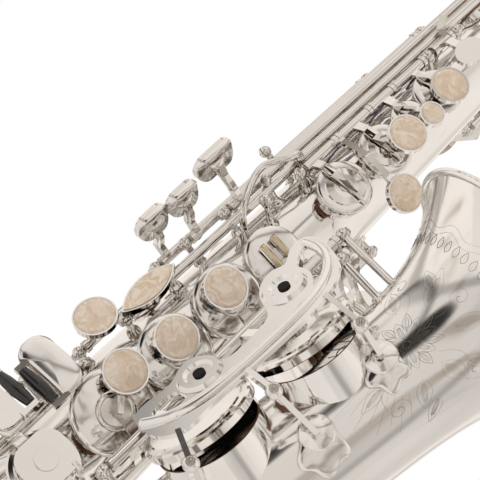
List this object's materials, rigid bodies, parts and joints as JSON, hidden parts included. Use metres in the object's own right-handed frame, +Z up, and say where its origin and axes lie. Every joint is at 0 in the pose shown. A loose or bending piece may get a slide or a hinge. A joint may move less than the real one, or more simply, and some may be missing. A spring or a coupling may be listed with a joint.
{
  "type": "alto saxophone",
  "caption": "Curved saxophone with a silver-plated conical body, bow and flared bell, hinged padded keys with pearl touches, neck and mouthpiece.",
  "frame": {"origin": "centre of the strap ring's hole on the back of the body tube", "axes": "+Z up the body tube towards the neck, -Y towards the bell, -X the player's right-hand side"},
  "size_m": [0.1232, 0.3682, 0.6807],
  "materials": {
    "silver_body": "bright silver plating over brass",
    "silver_keys": "bright silver plating over brass",
    "silver_posts": "bright silver plating over brass",
    "pivot_steel": "polished steel pivot rod",
    "black_felt": "pressed black felt",
    "black_roller": "turned black resin",
    "cork": "fine natural cork",
    "black_resin": "polished hard rubber",
    "cane": "shaved cane",
    "pearl": "swirled cream mother-of-pearl"
  },
  "bodies": {
    "body": {"body_tube": "silver_body", "bow": "silver_body", "bell": "silver_body", "bow_ferrules": "silver_body", "bell_brace": "silver_body", "neck_receiver": "silver_body", "strap_ring": "silver_body", "thumb_hook": "silver_body", "thumb_rest": "silver_body", "bell_key_guard": "silver_body", "guard_bumpers": "black_felt", "little_finger_key_guards": "silver_body", "pivot_posts": "silver_posts", "pivot_rods": "pivot_steel"},
    "key_d": {"key_d": "silver_keys", "pearl_d": "pearl"},
    "key_e": {"key_e": "silver_keys", "pearl_e": "pearl"},
    "key_f": {"key_f": "silver_keys", "pearl_f": "pearl"},
    "key_f_sharp": {"key_f_sharp": "silver_keys"},
    "key_g": {"key_g": "silver_keys", "pearl_g": "pearl"},
    "key_a": {"key_a": "silver_keys", "pearl_a": "pearl"},
    "key_bis": {"key_bis": "silver_keys", "pearl_bis": "pearl"},
    "key_b": {"key_b": "silver_keys", "pearl_b": "pearl"},
    "key_front_f": {"key_front_f": "silver_keys"},
    "key_side_e": {"key_side_e": "silver_keys"},
    "key_side_c": {"key_side_c": "silver_keys"},
    "key_side_b_flat": {"key_side_b_flat": "silver_keys"},
    "key_high_f_sharp": {"key_high_f_sharp": "silver_keys", "pearl_high_f_sharp": "pearl"},
    "key_f_sharp_trill": {"key_f_sharp_trill": "silver_keys", "pearl_f_sharp_trill": "pearl"},
    "key_e_flat": {"key_e_flat": "silver_keys"},
    "key_low_c": {"key_low_c": "silver_keys"},
    "e_flat_roller": {"low_e_flat_roller": "black_roller"},
    "c_roller": {"low_c_roller": "black_roller"},
    "lever_low_b": {"lever_low_b": "silver_keys"},
    "lever_low_b_flat": {"lever_low_b_flat": "silver_keys"},
    "key_low_b": {"key_low_b": "silver_keys"},
    "key_low_b_flat": {"key_low_b_flat": "silver_keys"},
    "key_low_c_sharp": {"key_low_c_sharp": "silver_keys"},
    "key_g_sharp": {"key_g_sharp": "silver_keys"},
    "key_palm_d": {"key_palm_d": "silver_keys"},
    "key_palm_e_flat": {"key_palm_e_flat": "silver_keys"},
    "key_palm_f": {"key_palm_f": "silver_keys"},
    "octave_lever": {"octave_lever": "silver_keys"},
    "body_octave_key": {"body_octave_key": "silver_keys"},
    "neck": {"neck_tube": "silver_body", "neck_cork": "cork", "mouthpiece": "black_resin", "ligature": "silver_keys", "reed": "cane", "neck_octave_posts": "silver_body"},
    "neck_octave_key": {"neck_octave_key": "silver_keys"},
    "clamp_screw": {"neck_clamp_screw": "silver_body"}
  },
  "joints": [
    {"name": "d_key_turn", "type": "hinge", "parent": "body", "child": "key_d", "pos_m": [0.00057, -0.06885, -0.062], "axis": [0.0131, 0.0162, 0.9998], "range_deg": [-8, 0]},
    {"name": "e_key_turn", "type": "hinge", "parent": "body", "child": "key_e", "pos_m": [0.00057, -0.06885, -0.062], "axis": [0.0131, 0.0162, 0.9998], "range_deg": [-8, 0]},
    {"name": "f_key_turn", "type": "hinge", "parent": "body", "child": "key_f", "pos_m": [0.00057, -0.06885, -0.062], "axis": [0.0131, 0.0162, 0.9998], "range_deg": [-8, 0]},
    {"name": "f_sharp_key_turn", "type": "hinge", "parent": "body", "child": "key_f_sharp", "pos_m": [0.00057, -0.06885, -0.062], "axis": [0.0131, 0.0162, 0.9998], "range_deg": [-8, 0]},
    {"name": "g_key_turn", "type": "hinge", "parent": "body", "child": "key_g", "pos_m": [-0.02872, -0.04016, 0.091], "axis": [0.0234, 0.0058, 0.9997], "range_deg": [0, 6]},
    {"name": "a_key_turn", "type": "hinge", "parent": "body", "child": "key_a", "pos_m": [-0.02872, -0.04016, 0.091], "axis": [0.0234, 0.0058, 0.9997], "range_deg": [0, 6]},
    {"name": "bis_key_turn", "type": "hinge", "parent": "body", "child": "key_bis", "pos_m": [-0.02872, -0.04016, 0.091], "axis": [0.0234, 0.0058, 0.9997], "range_deg": [0, 6]},
    {"name": "b_key_turn", "type": "hinge", "parent": "body", "child": "key_b", "pos_m": [-0.02872, -0.04016, 0.091], "axis": [0.0234, 0.0058, 0.9997], "range_deg": [0, 6]},
    {"name": "front_f_key_turn", "type": "hinge", "parent": "body", "child": "key_front_f", "pos_m": [-0.02872, -0.04016, 0.091], "axis": [0.0234, 0.0058, 0.9997], "range_deg": [0, 5]},
    {"name": "side_e_key_turn", "type": "hinge", "parent": "body", "child": "key_side_e", "pos_m": [-0.03151, -0.02688, 0.0935], "axis": [0.0213, -0.0041, 0.9998], "range_deg": [0, 9]},
    {"name": "side_c_key_turn", "type": "hinge", "parent": "body", "child": "key_side_c", "pos_m": [-0.03047, -0.02069, 0.0585], "axis": [0.0202, -0.0081, 0.9998], "range_deg": [0, 9]},
    {"name": "side_b_flat_key_turn", "type": "hinge", "parent": "body", "child": "key_side_b_flat", "pos_m": [-0.02804, -0.01479, 0.032], "axis": [0.0182, -0.0118, 0.9998], "range_deg": [0, 9]},
    {"name": "high_f_sharp_key_turn", "type": "hinge", "parent": "body", "child": "key_high_f_sharp", "pos_m": [-0.03, -0.033, 0.079], "axis": [0.0195, 0, 0.9998], "range_deg": [0, 9]},
    {"name": "f_sharp_trill_key_turn", "type": "hinge", "parent": "body", "child": "key_f_sharp_trill", "pos_m": [-0.03228, -0.02614, -0.07175], "axis": [0, 0, 1], "range_deg": [0, 9]},
    {"name": "e_flat_key_turn", "type": "hinge", "parent": "body", "child": "key_e_flat", "pos_m": [-0.03592, -0.04141, -0.137], "axis": [0, 0, 1], "range_deg": [-7, 0]},
    {"name": "low_c_key_turn", "type": "hinge", "parent": "body", "child": "key_low_c", "pos_m": [-0.0345, -0.016, -0.178], "axis": [0, 0, 1], "range_deg": [0, 9]},
    {"name": "e_flat_roller_spin", "type": "hinge", "parent": "key_e_flat", "child": "e_flat_roller", "pos_m": [-0.04925, -0.04924, -0.1292], "axis": [-0.6691, 0.7431, 0], "continuous": true},
    {"name": "low_c_roller_spin", "type": "hinge", "parent": "key_low_c", "child": "c_roller", "pos_m": [-0.05427, -0.04653, -0.1374], "axis": [-0.5446, 0.8387, 0], "continuous": true},
    {"name": "lever_low_b_turn", "type": "hinge", "parent": "body", "child": "lever_low_b", "pos_m": [0.0385, -0.031, -0.0125], "axis": [0, 0, 1], "range_deg": [-4, 0]},
    {"name": "lever_low_b_flat_turn", "type": "hinge", "parent": "body", "child": "lever_low_b_flat", "pos_m": [0.0385, -0.031, -0.0125], "axis": [0, 0, 1], "range_deg": [-4, 0]},
    {"name": "low_b_key_turn", "type": "hinge", "parent": "body", "child": "key_low_b", "pos_m": [-0.0315, -0.111, -0.0503], "axis": [0, 0, 1], "range_deg": [0, 7]},
    {"name": "low_b_flat_key_turn", "type": "hinge", "parent": "body", "child": "key_low_b_flat", "pos_m": [-0.0315, -0.099, -0.0695], "axis": [0, 0, 1], "range_deg": [0, 7]},
    {"name": "low_c_sharp_key_turn", "type": "hinge", "parent": "body", "child": "key_low_c_sharp", "pos_m": [0.038, -0.097, -0.086], "axis": [0, 0, 1], "range_deg": [0, 8]},
    {"name": "g_sharp_key_turn", "type": "hinge", "parent": "body", "child": "key_g_sharp", "pos_m": [0.0252, -0.04814, 0.026], "axis": [0, 0, 1], "range_deg": [0, 9]},
    {"name": "palm_d_key_turn", "type": "hinge", "parent": "body", "child": "key_palm_d", "pos_m": [0.02688, -0.03206, 0.164], "axis": [-0.0223, -0.0008, 0.9998], "range_deg": [0, 9]},
    {"name": "palm_e_flat_key_turn", "type": "hinge", "parent": "body", "child": "key_palm_e_flat", "pos_m": [0.02562, -0.02661, 0.186], "axis": [-0.0217, -0.0054, 0.9998], "range_deg": [0, 9]},
    {"name": "palm_f_key_turn", "type": "hinge", "parent": "body", "child": "key_palm_f", "pos_m": [0.02326, -0.02165, 0.2095], "axis": [-0.0201, -0.0098, 0.9998], "range_deg": [0, 9]},
    {"name": "octave_lever_turn", "type": "hinge", "parent": "body", "child": "octave_lever", "pos_m": [0, -0.00854, 0.162], "axis": [1, 0, 0], "range_deg": [-6.5, 0]},
    {"name": "body_octave_key_turn", "type": "hinge", "parent": "body", "child": "body_octave_key", "pos_m": [0, -0.01021, 0.194], "axis": [1, 0, 0], "range_deg": [-8, 0]},
    {"name": "neck_turn", "type": "hinge", "parent": "body", "child": "neck", "pos_m": [0, -0.033, 0.31], "axis": [0, 0, 1], "range_deg": [-20, 20]},
    {"name": "neck_octave_key_turn", "type": "hinge", "parent": "neck", "child": "neck_octave_key", "pos_m": [0, -0.03325, 0.36864], "axis": [1, 0, 0], "range_deg": [0, 3]},
    {"name": "clamp_screw_turn", "type": "hinge", "parent": "body", "child": "clamp_screw", "pos_m": [0, -0.0116, 0.296], "axis": [1, 0, 0], "continuous": true}
  ],
  "couplings": [
    {"joint": "f_sharp_key_turn", "follows": "f_key_turn", "ratio": 1},
    {"joint": "low_b_key_turn", "follows": "lever_low_b_turn", "ratio": -1.75},
    {"joint": "low_b_flat_key_turn", "follows": "lever_low_b_flat_turn", "ratio": -1.75},
    {"joint": "body_octave_key_turn", "follows": "octave_lever_turn", "ratio": 1},
    {"joint": "neck_octave_key_turn", "follows": "octave_lever_turn", "ratio": -0.375}
  ]
}
